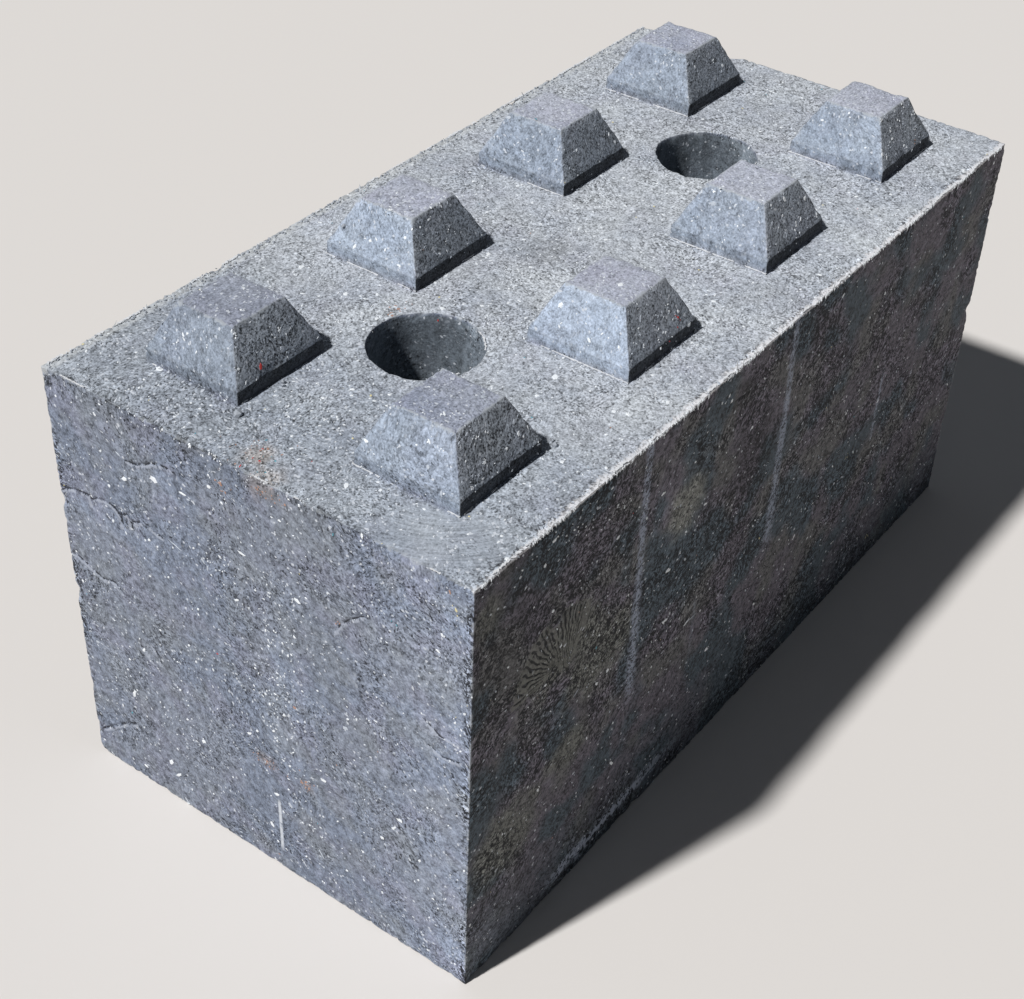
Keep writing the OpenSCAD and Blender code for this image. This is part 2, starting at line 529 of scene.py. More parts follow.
flare_reach, corner_radius = 0.01, 0.02
for v in block.verts:  # the rims of the bores are worn a little wide
    for middle in bore_middles:
        arm = v.co.xy - middle
        if arm.length < bore_radius + flare_reach and v.co.z > body_top - rim_depth:
            flare = 1 - ease(bore_radius, bore_radius + flare_reach, arm.length)
            flare *= ease(body_top - rim_depth, body_top, v.co.z)
            v.co.xy += arm.normalized() * flare * (0.0024 + 0.0016 * noise.noise(v.co * 28))
for v in block.verts:  # the foot of the near end is rubbed round at its far side
    fade = 1 - ease(low.x + 0.03, low.x + 0.14, v.co.x)
    arm = Vector((0, v.co.y - (high.y - corner_radius), v.co.z - (low.z + corner_radius)))
    if fade > 0 and arm.y > 0 and arm.z < 0 and arm.length > corner_radius:
        v.co -= arm * (1 - corner_radius / arm.length) * fade


def set_up(name, data):
    """A new object in the scene."""
    made = bpy.data.objects.new(name, data)
    bpy.context.collection.objects.link(made)
    return made


for f in block.faces:
    f.smooth = True
for e in block.edges:  # the corners where two walls of steel met stay crisp
    e.smooth = e.is_convex or e.calc_face_angle(0) < 0.7
mesh = bpy.data.meshes.new("block_moulding")
block.to_mesh(mesh)
moulding = set_up("block_moulding", mesh)
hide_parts("block")
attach(moulding, "root")

# The finish carries the tint and the wear of the mesh, and adds what is finer: reground
# grains, pits where they pulled out, streaks where the melt slid, dried runs and scrapes.
pvc = bpy.data.materials.new("recycled_pvc")
pvc.use_nodes = True
tree = pvc.node_tree
shader = tree.nodes["Principled BSDF"]


def feed(socket, value):
    if isinstance(value, bpy.types.NodeSocket):
        tree.links.new(value, socket)
    else:
        socket.default_value = value


def add(kind, inputs, **settings):
    """A new node, with its sockets fed by their names or numbers."""
    made = tree.nodes.new("ShaderNode" + kind)
    for name, value in settings.items():
        setattr(made, name, value)
    for socket, value in inputs.items():
        feed(made.inputs[socket], value)
    return made


def calc(kind, *values):
    return add("Math", dict(enumerate(values)), operation=kind).outputs[0]


def chained(kind):
    """Takes any number of values together, two at a time."""
    return lambda *values: functools.reduce(lambda a, b: calc(kind, a, b), values)


times, plus, most = chained("MULTIPLY"), chained("ADD"), chained("MAXIMUM")


def less(value):
    """What a value leaves of 1."""
    return calc("SUBTRACT", 1.0, value)


def off(value, amount):
    """How far a value is from one half, times the amount."""
    return times(calc("SUBTRACT", value, 0.5), amount)


def away(value, middle=0.0):
    return calc("ABSOLUTE", calc("SUBTRACT", value, middle))


def between(value, start, end, to_start=0.0, to_end=1.0):
    """An eased step from to_start at start to to_end at end; start may be the higher one."""
    inputs = dict(enumerate((value, start, end, to_start, to_end)))
    return add("MapRange", inputs, interpolation_type="SMOOTHSTEP").outputs[0]


def grit(scale, detail=1.0, rough=0.5, turn=None):
    """Lumps of 1 / scale metres, drawn out along one way where turn gives it."""
    inputs = {"Vector": turn or place, "Scale": scale, "Detail": detail, "Roughness": rough}
    return add("TexNoise", inputs).outputs["Fac"]


def coat(amount, tone):
    """The colour so far, covered by a tone to the amount."""
    return add("Mix", {0: amount, 6: colour, 7: (*tone, 1)}, data_type="RGBA").outputs[2]


def scaled(value, amount):
    return add("VectorMath", {0: value, "Scale": amount}, operation="SCALE").outputs["Vector"]


def stored(name, output="Fac"):
    return add("Attribute", {}, attribute_name=name).outputs[output]


place = add("TexCoord", {}).outputs["Object"]
at_x, at_y, at_z = add("SeparateXYZ", {0: place}).outputs
surface = add("NewGeometry", {}).outputs
face_x, face_y, face_z = add("SeparateXYZ", {0: surface["Normal"]}).outputs
wear, fold, by_fold, ridge, olive = map(stored, ("wear", "fold", "by_fold", "ridge", "olive"))
coarse = stored("tint", "Alpha")
smeared = less(coarse)
near_side = times(between(at_y, -0.286, -0.294), between(face_y, -0.45, -0.85))
long_side = between(away(at_y), 0.286, 0.294)
rough_side = times(long_side, plus(0.35, times(coarse, 0.95)))
near_end = between(face_x, -0.92, -0.97)
upward = between(face_z, 0.6, 0.9)
under_studs, on_stud = between(at_z, 0.604, 0.6), between(at_z, 0.603, 0.606)
flank = times(on_stud, between(away(face_y), 0.6, 0.8))

swirl = add("TexNoise", {"Vector": place, "Scale": 13, "Detail": 0}).outputs["Color"]
swerve = add("VectorMath", {0: swirl, 1: (0.03, 0.03, 0.03), 2: place}, operation="MULTIPLY_ADD")


def slanted(stretch):
    """The place, turned so that its first axis lies along the way that the melt slid."""
    inputs = {"Vector": swerve.outputs[0], "Rotation": (0.15, -0.45, 0.65), "Scale": (stretch, 1.0, 1.0)}
    return add("Mapping", inputs, vector_type="TEXTURE").outputs[0]


grains = add("TexVoronoi", {"Vector": slanted(1.35), "Scale": 430}).outputs["Color"]
shade_of, white_of, odd_of = add("SeparateColor", {0: grains}).outputs
lump, fine, smudge = grit(95, 2, 0.65), grit(470, 1), grit(120, 2, 0.6, turn=slanted(2.2))
seam, vein, zone = grit(78, 1.5, 0.6), grit(280, 1, turn=slanted(1.2)), grit(17, 1, 0.6)

grain = 1.0
for texture, everywhere, more in (  # how strongly each texture shows, and where it shows more
        (shade_of, 0.34, ((coarse, 0.46), (rough_side, 0.8), (upward, 0.14), (flank, 0.4))),
        (fine, 1.15, ((upward, 0.7), (rough_side, 1.0), (flank, 1.4))),
        (lump, 0.8, ((rough_side, 0.8), (near_end, 0.75), (upward, 0.4))),
        (smudge, 0.95, ((rough_side, 1.6), (upward, -0.5), (near_end, 0.25))),
        (vein, 0.0, ((upward, 0.95), (flank, 0.35), (rough_side, 2.2)))):
    strength = plus(everywhere, *(times(where, share) for where, share in more))
    grain = plus(grain, off(texture, strength))

# On the top the melt was dragged smooth in arcs round the stud at the near corner.
from_x, from_y = calc("ADD", at_x, 0.45), calc("ADD", at_y, 0.15)
reach = calc("SQRT", plus(times(from_x, from_x), times(from_y, from_y)))
arc_place = add("CombineXYZ", {0: times(reach, 14.0), 1: at_x, 2: at_y}).outputs[0]
arcs = grit(28, 2, 0.6, turn=arc_place)
dragged = times(upward, between(at_z, 0.604, 0.601), between(from_x, -0.045, -0.08),
                between(from_y, 0.01, -0.03), between(plus(reach, off(lump, 0.02)), 0.185, 0.165))
calm = less(plus(times(dragged, 0.55), times(on_stud, upward, 0.35)))
grain = plus(1.0, times(calc("SUBTRACT", grain, 1.0), calm), times(off(arcs, 1.05), dragged))
colour = scaled(stored("tint", "Color"), most(grain, 0.2))

# Hollows: pits and torn streaks, worm-like gaps in the olive skin, grooves and fold lines.
# With the dark grains they are coated near-black: partly the black melt showing in them, partly painted
# shade.
cracked = between(plus(zone, times(coarse, 0.16), times(wear, 0.12)), 0.55, 0.68, 0.22, 1.0)
pits = times(between(vein, 0.6, 0.68), cracked, less(times(on_stud, 0.65)), less(times(upward, 0.45)))
torn = plus(times(vein, 0.62), times(smudge, 0.42), times(coarse, -0.035))
torn = times(between(torn, 0.485, 0.435), long_side, plus(0.6, times(coarse, 0.4)))
stroke = times(between(away(smudge, 0.47), 0.026, 0.008), between(vein, 0.56, 0.48),
               between(coarse, 0.25, 0.7), plus(long_side, times(near_end, between(zone, 0.5, 0.6), 0.8)))
stud_pits = times(between(plus(fine, off(vein, 0.5)), 0.37, 0.31), flank, plus(0.3, times(coarse, 0.6)))
pits = times(most(pits, torn, stroke, stud_pits), between(ridge, -0.7, -0.98, 0.2, 1.0))
near_arris = times(between(at_x, -0.585, -0.595), between(at_z, 0.584, 0.594),
                   between(wear, 0.15, 0.6), between(at_y, -0.2, -0.12))
arris_pits = times(between(plus(lump, off(vein, 0.3)), 0.55, 0.62), near_arris)
worm = times(between(away(seam, 0.5), 0.04, 0.012), olive, between(ridge, -0.5, -0.95),
             between(lump, 0.44, 0.52))
scratch = times(between(away(vein, 0.5), 0.035, 0.008), olive, on_stud, between(lump, 0.47, 0.55))
groove = times(between(plus(ridge, off(fine, 0.8)), 0.12, 0.52), between(lump, 0.68, 0.58))
line = plus(fold, off(fine, 0.0026), off(lump, 0.004))
fold_line = times(between(plus(away(line), off(smudge, -0.003)), 0.0017, 0.0004),
                  between(lump, 0.58, 0.48), between(by_fold, 0.75, 0.95))
dark_grain = times(between(odd_of, 0.1, 0.0), plus(0.25, times(coarse, 0.75)), 0.7)
hollow_shade_and_dark_grain = most(pits, arris_pits, worm, scratch, groove, fold_line, dark_grain)
colour = coat(times(between(ridge, -0.98, -0.7), 0.65), (0.192, 0.194, 0.176))
# partly painted shade: the hollows are coated near-black
colour = coat(times(hollow_shade_and_dark_grain, 0.88), (0.014, 0.015, 0.019))

# Pale marks: the lips of folds, partly paler melt and partly a painted highlight, ground-in
# white and pale grains, and arrises rubbed to dust.
lip_pale_and_highlight = times(between(line, 0.0012, 0.002), between(line, 0.007, 0.004), between(by_fold, 0.5, 0.8),
            near_end, between(smudge, 0.38, 0.5), 0.7)
# partly a painted highlight: the fold lips on the near end are paler
colour = coat(lip_pale_and_highlight, (0.38, 0.41, 0.48))
rare = plus(0.984, times(upward, -0.03), times(long_side, 0.009))
white_grain = between(calc("SUBTRACT", white_of, rare), 0.0, 0.002)
colour = coat(times(white_grain, 0.85), (0.6, 0.63, 0.68))
pale_grain = times(between(odd_of, 0.93, 0.97, 0, 0.3), less(times(long_side, 0.6)))
colour = coat(pale_grain, (0.46, 0.49, 0.54))
rubbed = times(between(plus(wear, off(lump, 1.6)), 0.85, 1.1, 0, 0.55),
               most(between(at_z, 0.604, 0.6, 0.35, 1.0), between(at_z, 0.664, 0.669, 0, 1.3)))
colour = coat(rubbed, (0.37, 0.395, 0.425))
ragged_y = plus(at_y, off(fine, 0.008), off(lump, 0.016), between(at_x, -0.42, -0.54, 0, 0.003))
near_rim = times(between(ragged_y, -0.29, -0.2955), under_studs,
                 between(plus(at_z, off(fine, 0.004), off(smudge, 0.005)), 0.5945, 0.5965),
                 between(plus(vein, off(shade_of, 0.25)), 0.38, 0.5, 0.55, 1.0))
colour = coat(times(near_rim, 0.88), (0.75, 0.745, 0.765))
far_rim = times(between(plus(at_y, off(fine, 0.006), off(lump, 0.016)), 0.282, 0.291), under_studs,
                between(at_z, 0.588, 0.594))
colour = coat(times(far_rim, 0.62), (0.56, 0.58, 0.59))

# The plinths of the studs are painted near-black on the walls that face away from the key,
# and a little darker on the walls that face it: painted shade.
flat_x, _, flat_z = add("SeparateXYZ", {0: surface["True Normal"]}).outputs
plinth = times(between(at_z, 0.6158, 0.615), between(at_z, 0.5992, 0.6),
               between(away(flat_z), 0.6, 0.4), between(away(at_x), 0.56, 0.55))
# painted shade on the plinth walls
colour = scaled(colour, less(times(plinth, between(flat_x, -0.6, -0.4, 0.14, 0.76))))


def run(x, top, foot, width, strength, lean):
    """A dried run of pale water down the near long side."""
    sway = plus(calc("MULTIPLY_ADD", at_z, lean, -x - lean * top), off(lump, 0.006))
    across = times(away(plus(at_x, sway)), between(at_z, top - 0.35, top - 0.1, 1.0, 1.5))
    blotch = plus(times(vein, 0.45), times(fine, 0.55), off(shade_of, 0.3), off(smudge, 0.6))
    return times(between(plus(across, off(fine, 0.006)), width * 0.62, width * 0.15),
                 between(at_z, foot, foot + 0.06), between(at_z, top, top - 0.03),
                 between(blotch, 0.37, 0.62, 0.1, 1.0), near_side, strength)


for x, top, foot, width, strength, lean in (
        (-0.2945, 0.615, 0.2, 0.024, 1.0, 0.012), (-0.278, 0.336, 0.3, 0.007, 0.8, 0.9),
        (0.02, 0.615, 0.225, 0.026, 0.85, 0.02), (0.314, 0.385, 0.23, 0.014, 0.8, 0.0),
        (-0.15, 0.3, 0.16, 0.012, 0.3, 0.0), (-0.398, 0.075, -0.05, 0.03, 0.45, 0.35)):
    colour = coat(run(x, top, foot, width, strength, lean), (0.335, 0.375, 0.465))
rub_line = away(plus(at_z, times(at_x, -0.06), off(lump, 0.03)), 0.053)
foot_rub = times(near_side, between(rub_line, 0.013, 0.004), between(at_x, -0.46, -0.41),
                 between(at_x, -0.12, -0.28), between(plus(vein, smudge), 0.82, 1.02))
colour = coat(times(foot_rub, 0.9), (0.4, 0.45, 0.55))
scrape = times(between(away(at_y, -0.0195), 0.0034, 0.0012), between(at_z, 0.026, 0.045),
               between(at_z, 0.124, 0.112), near_end, between(smudge, 0.3, 0.5))
colour = coat(scrape, (0.55, 0.58, 0.63))
feed(shader.inputs["Base Color"], colour)

relief = plus(times(fine, plus(0.00018, times(coarse, 0.0003), times(long_side, 0.00015))),
              times(lump, plus(0.00045, times(coarse, 0.0006))), times(smudge, smeared, 0.00045))
bump = add("Bump", {"Distance": 1.0, "Height": relief})
feed(shader.inputs["Normal"], bump.outputs[0])
feed(shader.inputs["Roughness"], plus(0.7, times(coarse, 0.1), times(long_side, -0.12), times(fine, 0.2)))
shader.inputs["Specular IOR Level"].default_value = 0.2
mesh.materials.append(pvc)


# ---------------- The flecks
# Chips of other plastics that went into the melt with the sheath: mostly white and pale
# grey, a few red, copper, yellow and blue. Each is a thin chip pressed flush with the skin.
moulding_faces = bmesh.new()
moulding_faces.from_mesh(mesh)
bmesh.ops.triangulate(moulding_faces, faces=moulding_faces.faces)
skin_tree = BVHTree.FromBMesh(moulding_faces)
moulding_faces.free()
size = high - low
side_shares = (size.y * size.z, size.x * size.z, size.x * size.y * 1.3)  # the top has the most
end_ways = Vector((0, -1, 0)), Vector((0, 0, 1)), Vector((-1, 0, 0))  # right, up and out of it
side_ways = Vector((1, 0, 0)), Vector((0, 0, 1)), Vector((0, -1, 0))
top_ways = Vector((1, 0, 0)), Vector((0, 1, 0)), Vector((0, 0, 1))
single_chips = {  # by kind, in mm: place, length and width; and lean to the right and up
    "pale": [
        (-600, 112, 441.5, 32, 2, 1.0, -0.32), (-600, -84, 71, 21, 2.8, 0.6, -0.8),
        (-160, -300, 253, 40, 1.6, 1.0, 0.02), (-405, -300, 318, 20, 1.6, 1.0, 0.6),
        (-600, 190, 530, 10, 3, 0.8, -0.4), (-600, 70, 441, 12, 3.4, 0.6, -0.8),
        (-600, 64.5, 433.5, 10, 3.4, -0.1, -1.0), (-173, -200, 645, 14, 4, 0.3, 1.0),
        (-178, -130, 640, 18, 3, 0.8, 0.6), (-182, -100, 632, 10, 5, 1.0, 0.1)],
    "white": [
        (-600, 135.5, 521.5, 17, 11, 0.8, -0.5), (-600, 184, 498.5, 14, 7.5, 0.8, 0.5),
        (-600, 21, 206, 10, 6, 0.8, 0.5), (-600, -17, 127.5, 12, 7, 0.9, 0.3),
        (-600, 102, 139, 11, 7, 0.9, 0.4), (-600, 166, 61, 15, 8, 0.4, 0.9),
        (-600, 154, 47, 17, 6, 0.7, 0.7), (-600, 218, 150, 20, 7, 0.25, 1.0),
        (-600, -204, 214, 13, 7, 1.0, 0.1), (-600, 10, 483, 14, 4, 1.0, -0.1),
        (-600, -68, 460, 11, 5, 0.9, -0.4), (-600, 23, 411, 12, 4, 0.8, 0.5),
        (-600, 94, 523, 14, 4, 1.0, 0.0), (-600, -92.5, 203, 9, 6, 1.0, 0.0),
        (-220, -300, 296, 18, 7, 1.0, -0.15), (-226, -300, 377, 16, 7, 1.0, -0.3),
        (-315, -300, 130, 16, 6, 0.7, -0.7), (-468, -300, 578, 9, 6, 1.0, 0.0),
        (-256, -300, 507, 15, 5, 1.0, 0.1), (-345, -300, 502, 10, 5, 1.0, 0.2),
        (-155, -300, 430, 11, 5, 1.0, -0.1), (-166, -300, 254, 20, 5, 1.0, 0.3),
        (-364, -300, 300, 9, 5, 0.6, -0.8), (-471, -300, 217, 9, 5, 0.6, -0.8),
        (-260, -150, 600, 15, 9, 0.9, 0.4), (-550, -98, 600, 12, 8, 0.8, 0.6),
        (-262, 222, 600, 13, 8, 1.0, 0.0), (-95, 68, 600, 10, 7, 1.0, 0.3),
        (-512, -93, 630, 11, 5, 0.2, 1.0), (-522, 195, 630, 12, 8, 0.2, 1.0)],
    "red": [(-476.7, 85.4, 640, 10, 5, 0.3, 1.0)],
}
scatters = {  # by kind, in mm: middle and spread; and how many bits of one thing stayed together
    "white": [
        (-600, -35, 300, 18, 75, 130), (-600, 50, 440, 20, 20, 22), (-600, 165, 175, 30, 20, 14),
        (-220, -300, 310, 35, 18, 34), (-400, -300, 560, 70, 18, 40), (-300, -300, 350, 100, 100, 70),
        (-600, 60, 598, 110, 4, 70), (-375, -150, 600, 30, 60, 50), (-150, 0, 600, 100, 140, 260),
        (-450, 0, 600, 80, 140, 200), (-150, 0, 600, 300, 170, 460), (-450, 95, 600, 30, 8, 30),
        (-450, -205, 600, 30, 8, 14), (-100, -205, 600, 10, 8, 16)],
    "pale": [(-450, 95, 600, 30, 8, 24)],
    "copper": [
        (-600, 0, 175, 12, 4, 26), (-600, -68, 175, 7, 4, 14), (-600, 31, 568, 6, 6, 14),
        (-600, -28, 584, 12, 5, 22), (-572, 5, 600, 16, 16, 26), (-265, 72, 600, 10, 5, 14)],
    "red": [(-575, 10, 600, 15, 20, 6)],
    "blue": [(-570, -10, 600, 20, 20, 8)],
}
draw = random.Random(11)


def skin_place():
    """A random place on the moulding as seen from its sides, and the way its skin faces there."""
    while True:
        axis = draw.choices((0, 1, 2), side_shares)[0]
        way = Vector([draw.gauss(0, 0.3) for _ in range(3)])
        way[axis] = draw.choice((-1, 1))
        start = Vector([draw.uniform(low[i], high[i]) for i in range(3)])
        start[axis] = low[axis] if way[axis] > 0 else high[axis]
        hit, facing, _, _ = skin_tree.ray_cast(start - way * 0.001, way)
        if hit:
            return hit, facing


def meet_skin(x, y, z, right_by=0.0, up_by=0.0):
    """Where a chip aimed at a place meets the skin, the way it faces, and its face's own ways."""
    ways = end_ways if x <= low.x + hair else side_ways if y <= low.y + hair else top_ways
    right, up, out = ways
    start = Vector((x, y, z)) + right * right_by + up * up_by + out * 0.02
    hit, facing, _, _ = skin_tree.ray_cast(start, -out)
    return hit, facing, ways


def press_chip(centre, facing, way, length, width):
    """Adds one low five-sided chip to the batch, with its flat back under the skin."""
    side = facing.cross(way).normalized()
    along = side.cross(facing).normalized()
    lie = Matrix((along, side, facing)).transposed().to_4x4()
    lie.translation = centre + facing * 0.00012
    made = bmesh.ops.create_cone(
        batch, cap_ends=True, cap_tris=False, segments=5, radius1=0.5, radius2=0.34, depth=1.0,
        matrix=lie @ Matrix.Diagonal((length, width, 0.0006, 1)))["verts"]
    for v in made:
        arm = v.co - centre
        arm -= facing * arm.dot(facing)
        v.co += arm * draw.uniform(-0.45, 0.25)


def lay(centre, facing, grow=1.0):
    """Presses in a chip of the kind's usual length times grow, turned at random."""
    length = min(0.0105, grow * middle * math.exp(draw.gauss(-0.12, 0.42)))
    way = Vector([draw.gauss(0, 1) for _ in range(3)])
    press_chip(centre, facing, way, length, length * draw.uniform(0.38, 0.85))


def plain_plastic(name, colour, rough):
    made = bpy.data.materials.new(name)
    made.use_nodes = True
    look = made.node_tree.nodes["Principled BSDF"].inputs
    look["Base Color"].default_value = (*colour, 1)
    look["Roughness"].default_value = rough
    return made


def tip_in(pile, batch):
    """Moves a small batch into the big pile; the operators are quick on small meshes only."""
    carrier = bpy.data.meshes.new("carrier")
    batch.to_mesh(carrier)
    batch.clear()
    pile.from_mesh(carrier)
    bpy.data.meshes.remove(carrier)


def add_piece(name, made, finish):
    """Links a joined mesh, kept inside the block's own box, as a piece with the finish given."""
    bmesh.ops.recalc_face_normals(made, faces=made.faces)
    for v in made.verts:
        v.co = Vector(min(high[i] - hair, max(low[i] + hair, v.co[i])) for i in range(3))
    made_mesh = bpy.data.meshes.new(name)
    made.to_mesh(made_mesh)
    made.free()
    made_mesh.materials.append(finish)
    piece = set_up(name, made_mesh)
    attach(piece, "root")


for kind, chip_colour, count, middle in (  # how many strewn all over, and their usual length
        ("white", (0.8, 0.83, 0.86), 5200, 0.0036), ("pale", (0.46, 0.5, 0.56), 4540, 0.0034),
        ("copper", (0.4, 0.235, 0.175), 56, 0.003), ("red", (0.5, 0.045, 0.04), 24, 0.0034),
        ("yellow", (0.7, 0.62, 0.34), 126, 0.0032), ("blue", (0.1, 0.34, 0.42), 70, 0.0032)):
    pile, batch = bmesh.new(), bmesh.new()
    for i in range(count):
        if i % 60 == 59:
            tip_in(pile, batch)
        centre, facing = skin_place()
        if abs(facing.y) > 0.8 and abs(centre.y) > 0.29 and draw.random() < 0.66:
            continue
        if abs(centre.x) > 0.59 and draw.random() < 0.22:
            continue
        raised = centre.z > body_top + 0.02
        lay(centre, facing, 1.3 if raised and facing.z < 0.9 and count > 1000 else 1.0)
        if draw.random() < (0.6 if raised else 0.1):  # a chip that broke up
            for _ in range(draw.randint(1, 3)):
                step = Vector([draw.gauss(0, 0.004) for _ in range(3)])
                lay(centre + step - facing * step.dot(facing), facing, 0.7)
    for *sizes, many in scatters.get(kind, []):
        x, y, z, wide, tall = in_metres(sizes)
        for _ in range(many):
            hit, facing, ways = meet_skin(x, y, z, draw.gauss(0, wide), draw.gauss(0, tall))
            if hit and facing.dot(ways[2]) > 0.4:
                lay(hit, facing, 0.9)
    for *sizes, lean_right, lean_up in single_chips.get(kind, []):
        x, y, z, length, width = in_metres(sizes)
        hit, facing, (right, up, _) = meet_skin(x, y, z)
        press_chip(hit, facing, right * lean_right + up * lean_up, length, width)
    tip_in(pile, batch)
    add_piece(f"flecks_{kind}", pile, plain_plastic(f"{kind}_chips", chip_colour, 0.55))


# ---------------- The mould flash
# A thin pale ribbon of melt stays where the steel plates of the mould met: along the foot of
# every stud, the top arrises and the rims of the bores. It is ragged and broken in places.
burrs = bmesh.new()
draw = random.Random(23)


def lay_flash(path, width, thick, gap):
    """A ragged flat ribbon along a path of points, broken where its noise is below gap."""
    ribbon = bmesh.new()
    last = len(path) - 1
    bmesh.ops.create_grid(ribbon, x_segments=last, y_segments=1, size=0.5)
    for v in ribbon.verts:
        i = round((v.co.x + 0.5) * last)
        way = path[min(i + 1, last)] - path[max(i - 1, 0)]
        across = way.cross(Vector((0, 0, 1))).normalized()
        reach = v.co.y * draw.uniform(0.1, 2.0) + draw.gauss(0, 0.16)
        v.co = path[i] + across * width * reach + Vector((0, 0, draw.uniform(0, 0.6) * thick))
    seed = Vector((gap, 5, 1))
    broken = [f for f in ribbon.faces
              if noise.noise(f.calc_center_median() * 33 + seed) + draw.uniform(-0.1, 0.1) < gap]
    bmesh.ops.delete(ribbon, geom=broken, context="FACES")
    bmesh.ops.solidify(ribbon, geom=ribbon.faces[:], thickness=thick)
    tip_in(burrs, ribbon)
    ribbon.free()


def straight(a, b, step):
    parts = int((Vector(b) - Vector(a)).length / step)
    return [Vector(a).lerp(Vector(b), i / parts) for i in range(parts + 1)]


reach, z = stud_foot / 2 - 0.0004, body_top - 0.0008
for stud in stud_places:
    corners = [(stud.x + x * reach, stud.y + y * reach, z)
               for x, y in ((-1, 1), (-1, -1), (1, -1), (1, 1), (-1, 1))]
    gap = 0.24 if stud.x < -0.4 and stud.y > 0 else -0.16  # the foot of the near slope, least broken
    for a, b in zip(corners, corners[1:]):
        lay_flash(straight(a, b, 0.003), 0.0016, 0.0009, gap)
        gap = 0.24
reach, z = bore_radius + 0.0018, body_top - 0.0014
for bore in bores:
    x, y = bore["pos_m"][:2]
    turns = [math.radians(i * 1.7 - 115) for i in range(81)]
    path = [Vector((x + math.cos(t) * reach, y + math.sin(t) * reach, z)) for t in turns]
    lay_flash(path, 0.0014, 0.0007, 0.27)
z = body_top - 0.0011
for a, b, width, gap in (
        ((low.x + 0.002, low.y + 0.0034), (high.x - 0.002, low.y + 0.0034), 0.0022, 0.2),
        ((low.x + 0.002, high.y - 0.003), (high.x - 0.002, high.y - 0.003), 0.0028, 0.06),
        ((low.x + 0.0018, low.y + 0.002), (low.x + 0.0018, low.y + 0.055), 0.0009, 0.02),
        ((low.x + 0.0022, low.y + 0.08), (low.x + 0.0022, high.y - 0.002), 0.001, 0.4)):
    lay_flash(straight((*a, z), (*b, z), 0.0016), width, 0.0008, gap)
add_piece("flash_burrs", burrs, plain_plastic("pale_flash", (0.66, 0.67, 0.69), 0.8))


# ---------------- The crumbs and whiskers
# Loose crumbs of the melt lie on the top and beside the studs, and fine shreds of sheath
# stick out of the long top arrises where the mould plate was pulled away.
crumbs, batch, whiskers = bmesh.new(), bmesh.new(), bmesh.new()
draw = random.Random(31)


def drop_crumb(x, y, size):
    hit = skin_tree.ray_cast(Vector((x, y, high.z + 0.02)), Vector((0, 0, -1)))[0]
    if hit is None or hit.z < body_top - 0.01:
        return
    if len(batch.verts) > 600:
        tip_in(crumbs, batch)
    made = bmesh.ops.create_icosphere(batch, subdivisions=1, radius=size / 2)["verts"]
    stretch = Vector((draw.uniform(0.7, 1.4), draw.uniform(0.6, 1.1), draw.uniform(0.5, 0.9)))
    turn = Matrix.Rotation(draw.uniform(0, math.tau), 3, "Z")
    for v in made:
        bumpy = v.co * (1 + draw.uniform(-0.3, 0.3))
        v.co = turn @ Vector(bumpy[i] * stretch[i] for i in range(3)) + hit + Vector((0, 0, size * 0.22))


for x, y, size in (
        (-0.458, 0.072, 0.009), (-0.462, 0.068, 0.006), (-0.453, 0.069, 0.004), (-0.532, 0.069, 0.01),
        (-0.171, -0.226, 0.007), (-0.363, -0.223, 0.008), (-0.358, -0.217, 0.005), (-0.208, 0.2, 0.007),
        (-0.36, 0.112, 0.006)):
    drop_crumb(x, y, size)
for _ in range(300):  # swept against the feet of the studs
    stud = draw.choice(stud_places)
    t, reach = draw.uniform(-1, 1), stud_foot / 2 + abs(draw.gauss(0.0015, 0.003))
    x, y = draw.choice(((reach, t * reach), (-reach, t * reach), (t * reach, reach), (t * reach, -reach)))
    drop_crumb(stud.x + x, stud.y + y, draw.uniform(0.0012, 0.0032))
for _ in range(700):  # along the far top arris, and the far part of the near end's
    if draw.random() < 0.7:
        x, y = draw.uniform(low.x + 0.003, high.x - 0.003), high.y - 0.0022 - abs(draw.gauss(0, 0.007))
    else:
        x, y = low.x + 0.0045 + abs(draw.gauss(0, 0.006)), draw.uniform(-0.12, high.y - 0.003)
    drop_crumb(x, y, draw.uniform(0.0012, 0.0042 if x > low.x + 0.015 else 0.0024))
for _ in range(500):
    x, y = draw.uniform(low.x + 0.004, high.x - 0.004), draw.uniform(low.y + 0.004, high.y - 0.004)
    drop_crumb(x, y, draw.uniform(0.001, 0.0026))
tip_in(crumbs, batch)
add_piece("crumbs", crumbs, plain_plastic("melt_crumbs", (0.34, 0.365, 0.405), 0.85))


def pull_whisker(root, way, length, thick):
    """One curled, tapering shred of sheath."""
    bend = Vector((draw.gauss(0, 0.5), draw.gauss(0, 0.2), draw.uniform(-0.7, 0.7)))
    shred = bmesh.new()
    bmesh.ops.create_cone(shred, cap_ends=True, segments=3, radius1=0.5, radius2=0.12, depth=1.0)
    long_edges = [e for e in shred.edges if abs(e.verts[0].co.z - e.verts[1].co.z) > 0.5]
    cut(shred, long_edges, 3)
    turn = way.to_track_quat("Z", "Y")
    for v in shred.verts:
        t = v.co.z + 0.5
        straight_up = Vector((v.co.x * thick, v.co.y * thick, t * length))
        v.co = root + turn @ straight_up + bend * length * t * t * 0.6
    tip_in(whiskers, shred)
    shred.free()


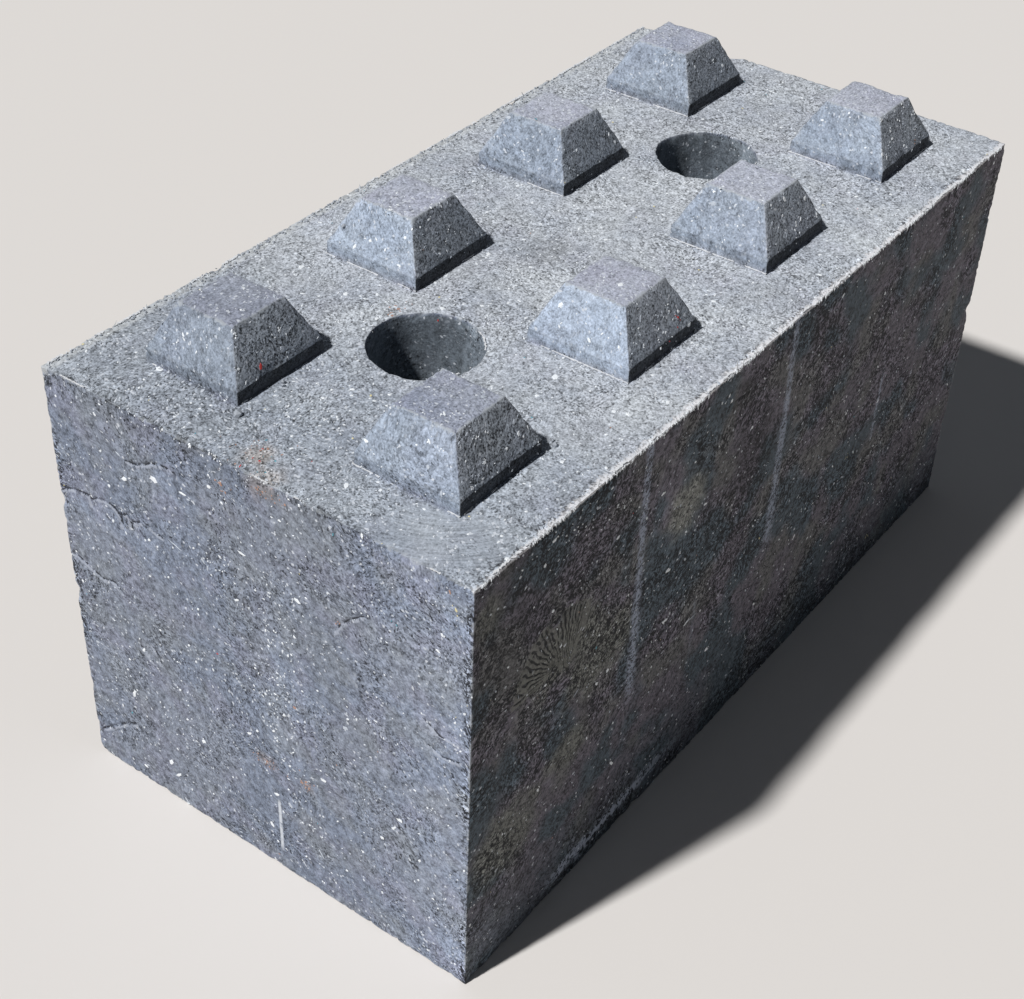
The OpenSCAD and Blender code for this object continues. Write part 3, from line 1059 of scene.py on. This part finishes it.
for x, length in ((-0.119, 0.018), (-0.105, 0.011), (0.107, 0.015), (0.235, 0.01), (-0.392, 0.008)):
    pull_whisker(Vector((x, low.y + 0.0022, body_top - 0.001)), Vector((0.3, 0.1, 0.9)), length, 0.0018)
for _ in range(900):
    near = draw.random() < 0.85
    x, z = draw.uniform(low.x + 0.01, high.x - 0.01), body_top - draw.uniform(0.0012, 0.0024)
    root = Vector((x, low.y + 0.0019, z))
    if noise.noise(Vector((root.x * 16, 3, 8))) + draw.uniform(-0.25, 0.25) < 0.02:
        continue
    way = Vector((draw.gauss(-0.5, 0.7), draw.uniform(-0.9, -0.3), draw.uniform(-1.0, -0.2)))
    if not near:
        root.y = high.y - 0.0035
        way = Vector((draw.gauss(0, 1), draw.uniform(-0.4, 0.0), draw.uniform(0.0, 0.6)))
    pull_whisker(root, way, draw.uniform(0.003, 0.0095), draw.uniform(0.0013, 0.0024))
add_piece("whiskers", whiskers, plain_plastic("pale_shreds", (0.66, 0.68, 0.7), 0.7))


# ---------------- The studio
# A pale floor of smooth concrete, painted matt. One wide lamp stands behind the near end,
# with a weak sky all round, and the camera looks down on the near corner.
floor_mesh = bpy.data.meshes.new("floor")
floor_bm = bmesh.new()
bmesh.ops.create_grid(floor_bm, x_segments=1, y_segments=1, size=30)
floor_bm.to_mesh(floor_mesh)
floor_bm.free()
floor = set_up("floor", floor_mesh)
floor_mesh.materials.append(plain_plastic("pale_floor", (0.7, 0.667, 0.636), 0.9))

eye, aim = Vector((-1.594, -1.04, 1.689)), Vector((-0.154, -0.0235, 0.3))
roll = math.radians(2.31)
camera = set_up("camera", bpy.data.cameras.new("camera"))
camera.data.lens = 61.8
camera.data.sensor_width = 36
turn = (aim - eye).to_track_quat("-Z", "Y").to_matrix() @ Matrix.Rotation(roll, 3, "Z")
camera.matrix_world = Matrix.Translation(eye) @ turn.to_4x4()
bpy.context.scene.camera = camera

sun_from = Vector((-0.585, 0.182, 0.79))
key = set_up("key", bpy.data.lights.new("key", "SUN"))
key.data.energy = 3.9
key.data.angle = math.radians(3.0)
key.rotation_mode = "QUATERNION"
key.rotation_quaternion = (-sun_from).to_track_quat("-Z", "Y")

world = bpy.data.worlds.new("studio")
bpy.context.scene.world = world
world.use_nodes = True
tree = world.node_tree
fill = tree.nodes["Background"]
fill.inputs["Color"].default_value = (0.8, 0.88, 1.0, 1)
fill.inputs["Strength"].default_value = 0.08
backdrop = add("Background", {"Color": (0.72, 0.71, 0.7, 1)}).outputs[0]
seen = add("LightPath", {}).outputs["Is Camera Ray"]
choose = add("MixShader", {0: seen, 1: fill.outputs[0], 2: backdrop})
feed(tree.nodes["World Output"].inputs["Surface"], choose.outputs[0])

bpy.context.scene.view_settings.view_transform = "Standard"
